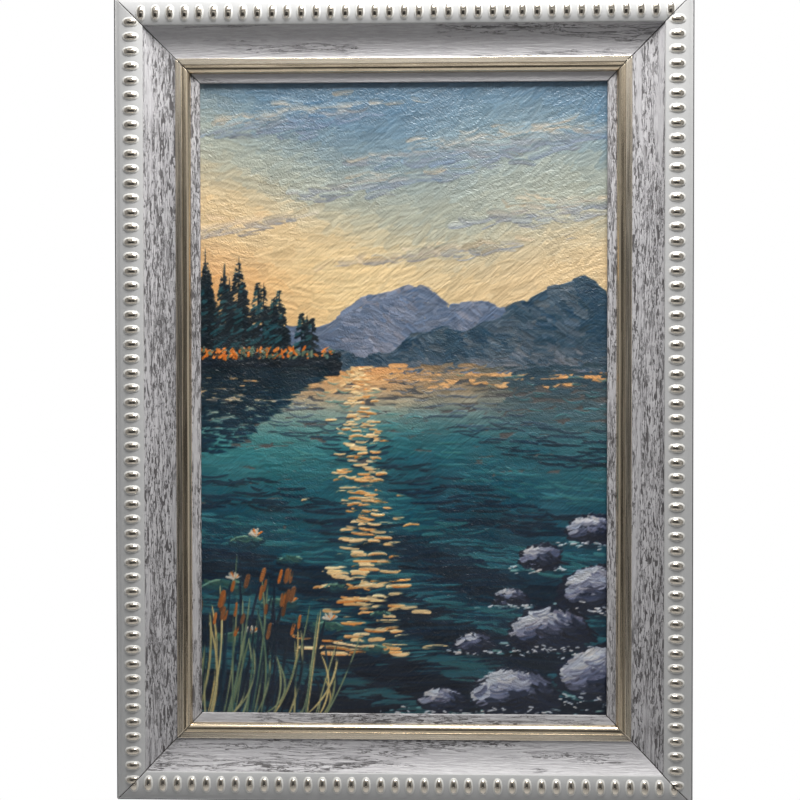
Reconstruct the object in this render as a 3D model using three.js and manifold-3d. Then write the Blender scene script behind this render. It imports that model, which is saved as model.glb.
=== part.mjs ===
// A framed oil painting: a painted board in a mitred, beaded moulding, with a toothed hanger on its back.
// Millimetres, +Z up. The picture faces -Y. The origin is the middle of the hanger's wall face.
import * as THREE from "three";
import { mergeVertices } from "three/addons/utils/BufferGeometryUtils.js";
import Module from "manifold-3d";

const wasm = await Module();
wasm.setup();

// The painted board, and how the rebate holds it
const BOARD_WIDTH = 200;
const BOARD_HEIGHT = 300;
const BOARD_THICKNESS = 3;
const BOARD_PLAY = 1; // room between the board's edge and the rebate wall
const LIP_COVER = 10; // how far the lip covers the board's edge
const REBATE_DEPTH = 8; // from the frame's back to the underside of the lip
const SEAT_GAP = 0.3; // between pieces that rest on or in each other
const MITRE_GAP = 0.3; // the open line between two rails at a corner

// The moulding across its width, from the sight edge outwards
const LIP_WIDTH = 3.8;
const GILT_ROLL_WIDTH = 3.5; // the rounded gilt strip beside the lip
const FILLET_WIDTH = 2.9;
const SCOOP_WIDTH = 13.1;
const BAND_WIDTH = 12.7;

// The moulding's heights, from the frame's back to the front
const LIP_THICKNESS = 1.6; // at the sight edge
const LIP_RISE = 0.6; // from the sight edge to the gilt roll
const GILT_ROLL_STEP = 0.2; // up from the lip to the roll
const FILLET_HEIGHT = 13;
const FILLET_STEP = 0.8; // up from the roll to the fillet
const FILLET_LEDGE = 0.4; // step down from the fillet to the scoop
const SCOOP_TOP_HEIGHT = 17.8;
const BAND_STEP = 0.6; // step up from the scoop to the band
const BAND_CROWN_HEIGHT = 19.6;
const SHOULDER_DROP = 1.0; // from the crown to the band's outer margin
const SIDE_HEIGHT = 17; // where the outer side starts to round over
const SHOULDER_WIDTH = 1.1; // how far in the rounding reaches
const SCOOP_SAG = 1.6; // how deep the scoop sinks below a straight slope
const GILT_ROLL_BULGE = 0.9; // how far the roll stands out from a straight slope
const SCOOP_STEPS = 6;
const GILT_ROLL_STEPS = 5;

// The row of oval beads along the band
const BEAD_LENGTH = 6.2; // across the band
const BEAD_WIDTH = 3.4; // along the band
const BEAD_HEIGHT = 1;
const BEAD_SINK = 0.1; // how far the widest line of a bead lies in the band
const BEAD_PITCH = 6.37;
const BEAD_SETBACK = 5.1; // from the band's inner edge to the bead's centre
const BEAD_SEAT_MARGIN = 0.1;
const BEAD_SIDES = 8;
const BEAD_RINGS = 4;

// The tabs that keep the board in the rebate
const TAB_WIDTH = 6;
const TAB_THICKNESS = 0.5;
const TAB_REACH = 8; // from the rebate wall over the board's back
const TAB_BITE = 6; // into the rebate wall
const TAB_TIP_WIDTH = 2;
const TAB_CHAMFER = 1;
const SIDE_TAB_SPREAD = 80; // from the middle of a side rail to each of its tabs

// The hanger and its nails
const HANGER_LENGTH = 44;
const HANGER_HEIGHT = 9;
const HANGER_THICKNESS = 0.9;
const HANGER_STAND_OFF = 1.4; // the room behind the raised middle
const HANGER_PAD = 9; // the flat end that takes a nail
const HANGER_RAMP = 1.4;
const TOOTH_PITCH = 3;
const TOOTH_DEPTH = 1.5;
const TOOTH_COUNT = 7;
const HANGER_GAP = 0.05; // between the plate and the wood, and the plate and the nail heads
const NAIL_RADIUS = 0.6;
const NAIL_LENGTH = 9;
const NAIL_POINT = 1.4;
const NAIL_HEAD_RADIUS = 1.7;
const NAIL_HEAD_HEIGHT = 0.9;
const NAIL_DOME = [[0.85, 0.6], [0.45, 0.92]]; // shares of the head's radius and height
const NAIL_CLEARANCE = 0.3;
const ROUND_SIDES = 14;
const CUT_MARGIN = 5; // how far a cutting body runs past what it cuts

// Sizes that follow from the ones above
const halfSightWidth = BOARD_WIDTH / 2 - LIP_COVER;
const halfSightHeight = BOARD_HEIGHT / 2 - LIP_COVER;
const rebateWidth = LIP_COVER + BOARD_PLAY;
const rollEnd = LIP_WIDTH + GILT_ROLL_WIDTH;
const filletEnd = rollEnd + FILLET_WIDTH;
const scoopEnd = filletEnd + SCOOP_WIDTH;
const mouldingWidth = scoopEnd + BAND_WIDTH;
const sightHeight = REBATE_DEPTH + LIP_THICKNESS;
const lipTop = sightHeight + LIP_RISE;
const beadCentre = scoopEnd + BEAD_SETBACK;
const boardFront = REBATE_DEPTH - SEAT_GAP;
const boardBack = boardFront - BOARD_THICKNESS;
const tabFront = boardBack - SEAT_GAP;
const standOff = HANGER_GAP + HANGER_STAND_OFF + HANGER_THICKNESS;
const hangerCentre = rebateWidth + (mouldingWidth - rebateWidth) / 2;
const nailPlace = HANGER_LENGTH / 2 - HANGER_PAD / 2;

// The four rails. Each is modelled as the top one and turned about Y into its place.
// beadShift is where one bead lies, along the rail from its middle.
const RAILS = [
  {
    name: "rail_top",
    turn: 0,
    half: halfSightWidth,
    reach: halfSightHeight,
    beadShift: 0.8,
    tabs: [0],
  },
  {
    name: "rail_right",
    turn: Math.PI / 2,
    half: halfSightHeight,
    reach: halfSightWidth,
    beadShift: 1.6,
    tabs: [-SIDE_TAB_SPREAD, SIDE_TAB_SPREAD],
  },
  {
    name: "rail_bottom",
    turn: Math.PI,
    half: halfSightWidth,
    reach: halfSightHeight,
    beadShift: -3,
    tabs: [0],
  },
  {
    name: "rail_left",
    turn: -Math.PI / 2,
    half: halfSightHeight,
    reach: halfSightWidth,
    beadShift: -1.1,
    tabs: [-SIDE_TAB_SPREAD, SIDE_TAB_SPREAD],
  },
];

const MATERIALS = {
  moulding: new THREE.MeshStandardMaterial({ color: 0xa7a5a8, roughness: 0.5, metalness: 0 }),
  board: new THREE.MeshStandardMaterial({ color: 0x8a6a48, roughness: 0.85, metalness: 0 }),
  steel: new THREE.MeshStandardMaterial({ color: 0xb8b4a8, roughness: 0.35, metalness: 1 }),
};

// A closed geometry as a solid that can be joined or cut.
function solidOf(geometry) {
  const bare = geometry.clone();
  bare.deleteAttribute("normal");
  bare.deleteAttribute("uv");
  const merged = mergeVertices(bare, 1e-4);
  return new wasm.Manifold(
    new wasm.Mesh({
      numProp: 3,
      vertProperties: merged.attributes.position.array,
      triVerts: new Uint32Array(merged.index.array),
    }),
  );
}

function geometryOf(solid) {
  const { numProp, numVert, vertProperties, triVerts } = solid.getMesh();
  const places = new Float32Array(numVert * 3);
  for (let i = 0; i < numVert; i++) {
    places.set(vertProperties.subarray(i * numProp, i * numProp + 3), i * 3);
  }
  const geometry = new THREE.BufferGeometry();
  geometry.setAttribute("position", new THREE.BufferAttribute(places, 3));
  geometry.setIndex(new THREE.BufferAttribute(triVerts, 1));
  geometry.computeVertexNormals();
  return geometry;
}

function extrude(points, depth) {
  const shape = new THREE.Shape(points.map(([x, y]) => new THREE.Vector2(x, y)));
  return new THREE.ExtrudeGeometry(shape, { depth, bevelEnabled: false });
}

// Points on a curve from start to end, which sinks by sag at its middle, or swells if sag is below zero.
function curve([x0, y0], [x1, y1], sag, steps) {
  const chord = Math.hypot(x1 - x0, y1 - y0);
  const down = [(y1 - y0) / chord, -(x1 - x0) / chord];
  return Array.from({ length: steps + 1 }, (_, i) => {
    const t = i / steps;
    const sink = 4 * sag * t * (1 - t);
    return [x0 + (x1 - x0) * t + down[0] * sink, y0 + (y1 - y0) * t + down[1] * sink];
  });
}

// The moulding's section: across from the sight edge, and forward from the back.
function mouldingSection() {
  const seatStart = beadCentre - BEAD_LENGTH / 2 - BEAD_SEAT_MARGIN;
  const seatEnd = beadCentre + BEAD_LENGTH / 2 + BEAD_SEAT_MARGIN;
  const rollStart = [LIP_WIDTH, lipTop + GILT_ROLL_STEP];
  const rollTop = [rollEnd, FILLET_HEIGHT - FILLET_STEP];
  const scoopStart = [filletEnd, FILLET_HEIGHT - FILLET_LEDGE];
  const scoopTop = [scoopEnd, SCOOP_TOP_HEIGHT];
  return [
    [0, REBATE_DEPTH],
    [0, sightHeight],
    [LIP_WIDTH, lipTop],
    ...curve(rollStart, rollTop, -GILT_ROLL_BULGE, GILT_ROLL_STEPS),
    [rollEnd, FILLET_HEIGHT],
    [filletEnd, FILLET_HEIGHT],
    ...curve(scoopStart, scoopTop, SCOOP_SAG, SCOOP_STEPS),
    [scoopEnd, SCOOP_TOP_HEIGHT + BAND_STEP],
    [seatStart, BAND_CROWN_HEIGHT],
    [seatEnd, BAND_CROWN_HEIGHT],
    [mouldingWidth - SHOULDER_WIDTH, BAND_CROWN_HEIGHT - SHOULDER_DROP],
    [mouldingWidth, SIDE_HEIGHT],
    [mouldingWidth, 0],
    [rebateWidth, 0],
    [rebateWidth, REBATE_DEPTH],
  ];
}

// One oval bead, lying on the band at a place along the rail.
function bead(along, reach) {
  const geometry = new THREE.SphereGeometry(1, BEAD_SIDES, BEAD_RINGS);
  geometry.scale(BEAD_WIDTH / 2, BEAD_HEIGHT + BEAD_SINK, BEAD_LENGTH / 2);
  geometry.translate(along, BEAD_SINK - BAND_CROWN_HEIGHT, reach + beadCentre);
  return solidOf(geometry);
}

// What is left of a length of moulding between its two mitres.
function mitreBody(half, reach) {
  const ends = half - MITRE_GAP / Math.SQRT2;
  const inner = -CUT_MARGIN;
  const outer = mouldingWidth + CUT_MARGIN;
  const geometry = extrude(
    [
      [-ends - inner, reach + inner],
      [ends + inner, reach + inner],
      [ends + outer, reach + outer],
      [-ends - outer, reach + outer],
    ],
    BAND_CROWN_HEIGHT + BEAD_HEIGHT + 2 * CUT_MARGIN,
  );
  geometry.rotateX(Math.PI / 2);
  geometry.translate(0, CUT_MARGIN, 0);
  return solidOf(geometry);
}

// The slot in the rebate wall that a tab is pushed into.
function tabSlot(along, reach) {
  const depth = TAB_BITE + SEAT_GAP + CUT_MARGIN;
  const thickness = TAB_THICKNESS + 2 * SEAT_GAP;
  const geometry = new THREE.BoxGeometry(TAB_WIDTH + 2 * SEAT_GAP, thickness, depth);
  geometry.translate(along, TAB_THICKNESS / 2 - tabFront, reach + rebateWidth - CUT_MARGIN + depth / 2);
  return solidOf(geometry);
}

function nailHole(along, reach) {
  const depth = NAIL_LENGTH + NAIL_CLEARANCE + CUT_MARGIN;
  const geometry = new THREE.CylinderGeometry(
    NAIL_RADIUS + NAIL_CLEARANCE,
    NAIL_RADIUS + NAIL_CLEARANCE,
    depth,
    ROUND_SIDES,
  );
  geometry.translate(along, CUT_MARGIN - depth / 2, reach + hangerCentre);
  return solidOf(geometry);
}

function railGeometry({ name, half, reach, beadShift, tabs }) {
  const length = 2 * (half + mouldingWidth + CUT_MARGIN);
  const stock = extrude(mouldingSection(), length);
  const upright = new THREE.Matrix4().set(0, 0, 1, -length / 2, 0, -1, 0, 0, 1, 0, 0, reach, 0, 0, 0, 1);
  stock.applyMatrix4(upright);
  let solid = solidOf(stock);
  const farthest = half + beadCentre + BEAD_WIDTH / 2;
  const first = Math.ceil((-farthest - beadShift) / BEAD_PITCH);
  const last = Math.floor((farthest - beadShift) / BEAD_PITCH);
  for (let i = first; i <= last; i++) {
    solid = solid.add(bead(beadShift + i * BEAD_PITCH, reach));
  }
  solid = solid.intersect(mitreBody(half, reach));
  for (const along of tabs) {
    solid = solid.subtract(tabSlot(along, reach));
  }
  if (name === "rail_top") {
    solid = solid.subtract(nailHole(-nailPlace, reach)).subtract(nailHole(nailPlace, reach));
  }
  return geometryOf(solid);
}

// A thin steel tab: chamfered where it lies over the board, pointed where it goes into the wood.
function tabGeometry() {
  const half = TAB_WIDTH / 2;
  const geometry = extrude(
    [
      [-half + TAB_CHAMFER, -TAB_REACH],
      [half - TAB_CHAMFER, -TAB_REACH],
      [half, TAB_CHAMFER - TAB_REACH],
      [half, TAB_BITE / 2],
      [TAB_TIP_WIDTH / 2, TAB_BITE],
      [-TAB_TIP_WIDTH / 2, TAB_BITE],
      [-half, TAB_BITE / 2],
      [-half, TAB_CHAMFER - TAB_REACH],
    ],
    TAB_THICKNESS,
  );
  geometry.rotateX(Math.PI / 2);
  geometry.translate(0, TAB_THICKNESS - tabFront, 0);
  return geometry;
}

// The hanger's face: a plate with round ends, a hole at each end and teeth along its lower edge.
function hangerOutline() {
  const half = HANGER_HEIGHT / 2;
  const shoulder = HANGER_LENGTH / 2 - half;
  const shape = new THREE.Shape();
  shape.moveTo(shoulder, -half);
  shape.absarc(shoulder, 0, half, -Math.PI / 2, Math.PI / 2, false);
  shape.lineTo(-shoulder, half);
  shape.absarc(-shoulder, 0, half, Math.PI / 2, (3 * Math.PI) / 2, false);
  for (let i = 0; i < TOOTH_COUNT; i++) {
    const left = (i - TOOTH_COUNT / 2) * TOOTH_PITCH;
    shape.lineTo(left, -half);
    shape.lineTo(left + TOOTH_PITCH / 2, TOOTH_DEPTH - half);
  }
  shape.lineTo((TOOTH_COUNT * TOOTH_PITCH) / 2, -half);
  shape.closePath();
  for (const side of [-1, 1]) {
    const hole = new THREE.Path();
    hole.absarc(side * nailPlace, 0, NAIL_RADIUS + NAIL_CLEARANCE, 0, 2 * Math.PI, true);
    shape.holes.push(hole);
  }
  const geometry = new THREE.ExtrudeGeometry(shape, {
    depth: standOff + 2 * CUT_MARGIN,
    bevelEnabled: false,
    curveSegments: ROUND_SIDES / 2,
  });
  geometry.rotateX(Math.PI / 2);
  geometry.translate(0, standOff + CUT_MARGIN, 0);
  return solidOf(geometry);
}

// The bent strip that the plate is made from: flat ends on the wood and a raised middle.
function hangerStrip() {
  const end = HANGER_LENGTH / 2;
  const bend = end - HANGER_PAD;
  const low = HANGER_GAP;
  const raised = low + HANGER_STAND_OFF;
  const t = HANGER_THICKNESS;
  const geometry = extrude(
    [
      [-end, low],
      [-bend, low],
      [-bend + HANGER_RAMP, raised],
      [bend - HANGER_RAMP, raised],
      [bend, low],
      [end, low],
      [end, low + t],
      [bend, low + t],
      [bend - HANGER_RAMP, raised + t],
      [-bend + HANGER_RAMP, raised + t],
      [-bend, low + t],
      [-end, low + t],
    ],
    HANGER_HEIGHT,
  );
  geometry.translate(0, 0, -HANGER_HEIGHT / 2);
  return solidOf(geometry);
}

function nailGeometry() {
  const profile = [
    [0, -NAIL_LENGTH],
    [NAIL_RADIUS, NAIL_POINT - NAIL_LENGTH],
    [NAIL_RADIUS, 0],
    [NAIL_HEAD_RADIUS, 0],
    ...NAIL_DOME.map(([across, up]) => [NAIL_HEAD_RADIUS * across, NAIL_HEAD_HEIGHT * up]),
    [0, NAIL_HEAD_HEIGHT],
  ];
  return new THREE.LatheGeometry(
    profile.map(([x, y]) => new THREE.Vector2(x, y)),
    ROUND_SIDES,
  );
}

function piece(name, geometry, material) {
  const mesh = new THREE.Mesh(geometry, material);
  mesh.name = name;
  return mesh;
}

// The picture group has its own origin at the middle of the sight opening, on the frame's back.
const picture = new THREE.Group();
picture.position.set(0, -standOff, -halfSightHeight - hangerCentre);

let tabNumber = 0;
for (const rail of RAILS) {
  const side = new THREE.Group();
  side.rotation.y = rail.turn;
  side.add(piece(rail.name, railGeometry(rail), MATERIALS.moulding.clone()));
  for (const along of rail.tabs) {
    tabNumber += 1;
    const tab = piece(`holding_tab_${tabNumber}`, tabGeometry(), MATERIALS.steel.clone());
    tab.position.set(along, 0, rail.reach + rebateWidth);
    side.add(tab);
  }
  picture.add(side);
}

const board = piece(
  "painted_board",
  new THREE.BoxGeometry(BOARD_WIDTH, BOARD_THICKNESS, BOARD_HEIGHT),
  MATERIALS.board,
);
board.position.y = BOARD_THICKNESS / 2 - boardFront;
picture.add(board);

// The hanger group has its origin on the top rail's back, at the middle of the plate.
const hanger = new THREE.Group();
hanger.position.set(0, 0, halfSightHeight + hangerCentre);
const plate = geometryOf(hangerStrip().intersect(hangerOutline()));
hanger.add(piece("hanger_plate", plate, MATERIALS.steel.clone()));
for (const [name, side] of [
  ["hanger_nail_left", -1],
  ["hanger_nail_right", 1],
]) {
  const nail = piece(name, nailGeometry(), MATERIALS.steel.clone());
  nail.position.set(side * nailPlace, 2 * HANGER_GAP + HANGER_THICKNESS, 0);
  hanger.add(nail);
}
picture.add(hanger);

const framedPainting = new THREE.Group();
framedPainting.add(picture);

export default framedPainting;
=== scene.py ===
"""A framed oil painting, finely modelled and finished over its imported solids. Metres, +Z up, front at -Y."""
import logging
import math
from collections.abc import Iterator
from contextlib import contextmanager
from dataclasses import dataclass, field
from enum import Enum
from typing import Protocol, Union

import bpy
import numpy as np
from mathutils import Matrix, Vector


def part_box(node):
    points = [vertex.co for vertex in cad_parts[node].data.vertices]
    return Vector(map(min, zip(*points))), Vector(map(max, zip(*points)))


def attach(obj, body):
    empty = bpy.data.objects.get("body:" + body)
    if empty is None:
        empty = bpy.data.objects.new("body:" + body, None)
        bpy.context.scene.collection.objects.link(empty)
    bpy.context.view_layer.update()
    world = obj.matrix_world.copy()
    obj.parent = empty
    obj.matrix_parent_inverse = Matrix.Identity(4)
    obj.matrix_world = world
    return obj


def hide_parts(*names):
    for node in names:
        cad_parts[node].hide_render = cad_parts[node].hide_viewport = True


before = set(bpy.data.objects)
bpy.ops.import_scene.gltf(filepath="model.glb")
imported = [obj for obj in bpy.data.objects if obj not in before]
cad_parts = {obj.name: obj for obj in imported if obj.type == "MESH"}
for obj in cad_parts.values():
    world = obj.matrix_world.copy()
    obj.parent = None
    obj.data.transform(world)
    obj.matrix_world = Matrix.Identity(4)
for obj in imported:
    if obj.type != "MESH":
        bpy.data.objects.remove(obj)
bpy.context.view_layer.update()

log = logging.getLogger("framed_painting")

MM = 0.001
Colour = tuple[float, float, float]
Point = tuple[float, float]
Triple = tuple[float, float, float]
Box = tuple[Vector, Vector]
Piece = bpy.types.Object
Material = bpy.types.Material
Socket = bpy.types.NodeSocket
Value = Union[Socket, float]
WHITE = (1.0, 1.0, 1.0, 1.0)
BLACK = (0.05, 0.05, 0.05)


def box_of(node: str) -> Box:
    """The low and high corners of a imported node."""
    low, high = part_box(node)
    return Vector(low), Vector(high)


def deselect_all() -> None:
    """Leaves object mode with nothing selected."""
    if bpy.context.object and bpy.context.object.mode != "OBJECT":
        bpy.ops.object.mode_set(mode="OBJECT")
    bpy.ops.object.select_all(action="DESELECT")


def pick(piece: Piece) -> None:
    """Makes one object the only one selected, and the active one."""
    deselect_all()
    piece.select_set(True)
    bpy.context.view_layer.objects.active = piece


@contextmanager
def editing(piece: Piece) -> Iterator[None]:
    """Opens one piece in edit mode with all of it selected, and leaves edit mode at the end."""
    pick(piece)
    bpy.ops.object.mode_set(mode="EDIT")
    bpy.ops.mesh.select_all(action="SELECT")
    yield
    bpy.ops.object.mode_set(mode="OBJECT")


def settle(piece: Piece, place: Matrix) -> None:
    """Turns a piece's mesh into its place and leaves the object itself at the origin.

    Args:
        piece: the piece, modelled in its own frame.
        place: where that frame lies in the world.
    """
    piece.data.transform(place @ piece.matrix_world)
    piece.matrix_world = Matrix.Identity(4)


def join(pieces: list[Piece], name: str) -> Piece:
    """Joins meshes into the first of them.

    Args:
        pieces: the meshes to join.
        name: the name of the joined piece.

    Returns:
        The joined piece.
    """
    pick(pieces[0])
    for piece in pieces[1:]:
        piece.select_set(True)
    bpy.ops.object.join()
    pieces[0].name = name
    return pieces[0]


def soften(piece: Piece, radius: float, angle: float = 30.0, segments: int = 2) -> None:
    """Rounds a piece's sharp edges with a bevel that is applied, and smooths its shading.

    Args:
        piece: the piece to work on.
        radius: the width of the bevel.
        angle: edges sharper than this many degrees are rounded.
        segments: steps in the rounding.
    """
    pick(piece)
    bevel = piece.modifiers.new("softened edges", "BEVEL")
    bevel.width = radius
    bevel.segments = segments
    bevel.limit_method = "ANGLE"
    bevel.angle_limit = math.radians(angle)
    bevel.use_clamp_overlap = True
    bpy.ops.object.modifier_apply(modifier=bevel.name)
    bpy.ops.object.shade_smooth_by_angle(angle=math.radians(angle + 5))


def tone(colour: Colour, share: float) -> Colour:
    """A colour made lighter or darker by a share."""
    return tuple(c * share for c in colour)


class Nodes:
    """A tree of shader nodes in the making: adds nodes and joins them up."""

    def __init__(self, tree: bpy.types.NodeTree) -> None:
        """Works on the given tree."""
        self.tree = tree

    def add(self, kind: str, inputs: dict | None = None, **settings) -> bpy.types.Node:
        """Adds a node.

        Args:
            kind: the node's type.
            inputs: what goes into its sockets, by name or number: a value, or another node's output.
            settings: the node's own options.

        Returns:
            The node.
        """
        node = self.tree.nodes.new(kind)
        for key, value in settings.items():
            setattr(node, key, value)
        for key, value in (inputs or {}).items():
            self.feed(node.inputs[key], value)
        return node

    def feed(self, socket: Socket, value: Value | tuple) -> None:
        """Links an output into a socket, or sets the socket's own value."""
        if isinstance(value, Socket):
            self.tree.links.new(value, socket)
        else:
            socket.default_value = value

    def step(self, value: Value, low: float, high: float, start: float = 0.0, end: float = 1.0,
             kind: str = "SMOOTHSTEP") -> Socket:
        """Runs from start to end while the value runs from low to high: softly, unless the kind is LINEAR."""
        sockets = {"Value": value, "From Min": low, "From Max": high, "To Min": start, "To Max": end}
        return self.add("ShaderNodeMapRange", sockets, interpolation_type=kind).outputs[0]

    def math(self, operation: str, first: Value, second: Value = 0.0) -> Socket:
        """One arithmetic step."""
        return self.add("ShaderNodeMath", {0: first, 1: second}, operation=operation).outputs[0]

    def times(self, first: Value, second: Value) -> Socket:
        """The product of two values."""
        return self.math("MULTIPLY", first, second)

    def larger(self, first: Value, second: Value) -> Socket:
        """The larger of two values."""
        return self.math("MAXIMUM", first, second)

    def fold(self, noise: Socket) -> Socket:
        """How far a noise is from its middle: near zero along thin winding lines."""
        return self.math("ABSOLUTE", self.math("SUBTRACT", noise, 0.5))


class Recipe(Nodes):
    """A material in the making."""

    def __init__(self, name: str) -> None:
        """Starts from one principled shader that reads Object coordinates."""
        self.material = bpy.data.materials.new(name)
        self.material.use_nodes = True
        super().__init__(self.material.node_tree)
        self.shader = self.tree.nodes["Principled BSDF"]
        self.place = self.add("ShaderNodeTexCoord").outputs["Object"]

    def set(self, **values) -> None:
        """Feeds the shader's sockets; an underscore in a name stands for a space."""
        for key, value in values.items():
            self.feed(self.shader.inputs[key.replace("_", " ")], value)

    def grain(self, waves: Triple | float, detail: float = 4.0, warp: float = 0.0, rough: float = 0.5,
              shift: float = 0.0, turn: float = 0.0) -> Socket:
        """Noise from about 0 to 1.

        Args:
            waves: how many waves a metre it has, along each axis or the same all ways.
            detail: how many finer layers it has.
            warp: how far it is distorted.
            rough: how strong its finer layers are.
            shift: moves it, so that two noises differ.
            turn: turns it about Y, in radians.

        Returns:
            The noise.
        """
        scale = waves if isinstance(waves, tuple) else (waves,) * 3
        turned = {"Vector": self.place, "Angle": turn}
        place = self.add("ShaderNodeVectorRotate", turned, rotation_type="Y_AXIS").outputs[0]
        mapped = {"Vector": place, "Scale": scale, "Location": (shift,) * 3}
        place = self.add("ShaderNodeMapping", mapped).outputs[0]
        noise = {"Vector": place, "Scale": 1.0, "Detail": detail, "Roughness": rough, "Distortion": warp}
        return self.add("ShaderNodeTexNoise", noise).outputs["Fac"]

    def mix(self, share: Value, first: Socket | Colour, second: Socket | Colour) -> Socket:
        """A colour that goes from the first to the second with the share."""
        tints = [(*c, 1.0) if isinstance(c, tuple) else c for c in (first, second)]
        return self.add("ShaderNodeMix", {0: share, 6: tints[0], 7: tints[1]}, data_type="RGBA").outputs[2]

    def bump(self, height: Socket, depth: float, before: Socket | None = None) -> Socket:
        """A normal tilted by a relief so many metres deep, on top of an earlier one."""
        sockets = {"Height": height, "Distance": depth, "Strength": 1.0}
        if before is not None:
            sockets["Normal"] = before
        return self.add("ShaderNodeBump", sockets).outputs[0]


class Run(Enum):
    """The way a length of moulding runs; the value orders (along, across) scales to X, Y and Z."""

    ALONG_X = "x"
    ALONG_Z = "z"

    def stretch(self, along: float, across: float) -> Triple:
        """Waves a metre along and across the run, as X, Y and Z scales."""
        return (along, across, across) if self is Run.ALONG_X else (across, across, along)


class RailSide(Enum):
    """The four rails of the frame, by where they lie."""

    TOP = "top"
    RIGHT = "right"
    BOTTOM = "bottom"
    LEFT = "left"

    @property
    def turn(self) -> float:
        """How far the rail is turned about Y from the top one."""
        return {"top": 0.0, "right": math.pi / 2, "bottom": math.pi, "left": -math.pi / 2}[self.value]

    @property
    def run(self) -> Run:
        """The way the rail runs."""
        return Run.ALONG_X if self in (RailSide.TOP, RailSide.BOTTOM) else Run.ALONG_Z

    @property
    def wear_start(self) -> float:
        """How patchy the wear of its paint is: the higher, the fewer the worn places."""
        return {"top": 0.55, "right": 0.36, "bottom": 0.475, "left": 0.33}[self.value]

    @property
    def bead_shift(self) -> float:
        """Where one bead lies, along the rail from its middle."""
        return {"top": 0.8, "right": 1.6, "bottom": -3.0, "left": -1.1}[self.value] * MM


@dataclass(frozen=True)
class DistressedPaint:
    """Grey-white paint over a raised grain that follows the rail, rubbed through to dark in places.

    Each pair of waves is how many there are a metre, along the rail and across it.
    """

    side: RailSide
    base: Colour = (0.335, 0.33, 0.345)
    pale: Colour = (0.45, 0.445, 0.46)
    dark: Colour = (0.045, 0.041, 0.043)
    roughness: float = 0.46
    bare_roughness: float = 0.7
    patch_waves: Point = (11, 130)
    dash_waves: Point = (190, 980)
    crack_waves: Point = (60, 700)
    fleck_waves: Point = (420, 1350)
    streak_waves: Point = (120, 1300)
    cloud_waves: Point = (22, 60)
    split_waves: Point = (28, 330)
    split_patch_waves: Point = (14, 120)
    wear_softness: float = 0.13
    least_wear: float = 0.10
    grain_depth: float = 0.22 * MM
    paint_depth: float = 0.12 * MM

    def material(self) -> Material:
        """Builds the finish."""
        r = Recipe(f"distressed_paint_{self.side.value}")
        along = self.side.run.stretch
        patches = r.grain(along(*self.patch_waves), detail=3, rough=0.6, shift=3.1)
        worn = r.step(patches, self.side.wear_start, self.side.wear_start + self.wear_softness)
        dashes = r.grain(along(*self.dash_waves), detail=2.5, warp=0.3)
        cracks = r.step(r.fold(r.grain(along(*self.crack_waves), 6, 0.9, 0.65, 5.7)), 0.010, 0.019, 1.0, 0.0)
        flecks = r.grain(along(*self.fleck_waves), detail=2, warp=0.4, shift=7.7)
        marks = r.larger(r.step(dashes, 0.586, 0.597), cracks)
        marks = r.larger(marks, r.times(r.step(flecks, 0.61, 0.63), 0.8))
        marks = r.times(marks, r.larger(worn, self.least_wear))
        marks = r.larger(marks, r.times(self.splits(r), 0.95))
        streaks = r.step(r.grain(along(*self.streak_waves), detail=4, shift=1.3), 0.42, 0.62)
        cloudy = r.step(r.grain(along(*self.cloud_waves), detail=3, shift=5.0), 0.35, 0.65, 0.0, 0.25)
        coat = r.mix(r.larger(r.times(streaks, 0.5), cloudy), self.base, self.pale)
        r.set(Base_Color=r.mix(r.times(marks, 0.93), coat, self.dark))
        r.set(Roughness=r.step(marks, 0.0, 1.0, self.roughness, self.bare_roughness))
        open_grain = r.times(dashes, r.times(r.larger(worn, 0.3), -1.8))
        relief = r.math("ADD", open_grain, r.times(streaks, 0.25))
        paint_edge = r.bump(r.math("SUBTRACT", 1.0, marks), self.paint_depth)
        r.set(Normal=r.bump(relief, self.grain_depth, paint_edge))
        return r.material

    def splits(self, r: Recipe) -> Socket:
        """Long dark splits that come and go along the rail, as a mask."""
        along = self.side.run.stretch
        lines = r.fold(r.grain(along(*self.split_waves), 7, 1.1, 0.7, 2.9))
        present = r.step(r.grain(along(*self.split_patch_waves), detail=2, shift=8.3), 0.53, 0.58)
        return r.times(r.step(lines, 0.006, 0.014, 1.0, 0.0), present)


@dataclass(frozen=True)
class SatinLacquer:
    """Smooth satin paint on the band and the outer side; a dark copy of it is painted shade on the outer rim.
    """

    name: str = "satin_lacquer"
    base: Colour = (0.37, 0.373, 0.377)
    roughness: float = 0.36
    brush_depth: float = 0.035 * MM

    def material(self) -> Material:
        """Builds the finish."""
        r = Recipe(self.name)
        mottle = r.step(r.grain(55, rough=0.6), 0.3, 0.7)
        r.set(Base_Color=r.mix(mottle, self.base, tone(self.base, 0.95)))
        r.set(Roughness=r.step(r.grain(240), 0.3, 0.7, self.roughness, self.roughness + 0.1))
        r.set(Normal=r.bump(r.grain(650, detail=2), self.brush_depth))
        return r.material


@dataclass(frozen=True)
class GiltLeaf:
    """Pale champagne gilding, finely brushed along the rail."""

    run: Run
    name: str = "gilt_roll"
    base: Colour = (0.64, 0.545, 0.41)
    worn: Colour = (0.28, 0.22, 0.155)
    roughness: float = 0.18
    brush_waves: Point = (25, 2600)
    rub_waves: Point = (60, 500)
    brush_depth: float = 0.012 * MM

    def material(self) -> Material:
        """Builds the finish."""
        r = Recipe(f"{self.name}_{self.run.value}")
        brushed = r.grain(self.run.stretch(*self.brush_waves), detail=3, rough=0.6)
        rubbed = r.grain(self.run.stretch(*self.rub_waves), detail=5, rough=0.65, shift=2.0)
        r.set(Base_Color=r.mix(r.step(rubbed, 0.52, 0.75, 0.0, 0.45), self.base, self.worn), Metallic=1.0)
        r.set(Roughness=r.step(brushed, 0.3, 0.7, self.roughness - 0.05, self.roughness + 0.13))
        r.set(Normal=r.bump(brushed, self.brush_depth))
        return r.material


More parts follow.
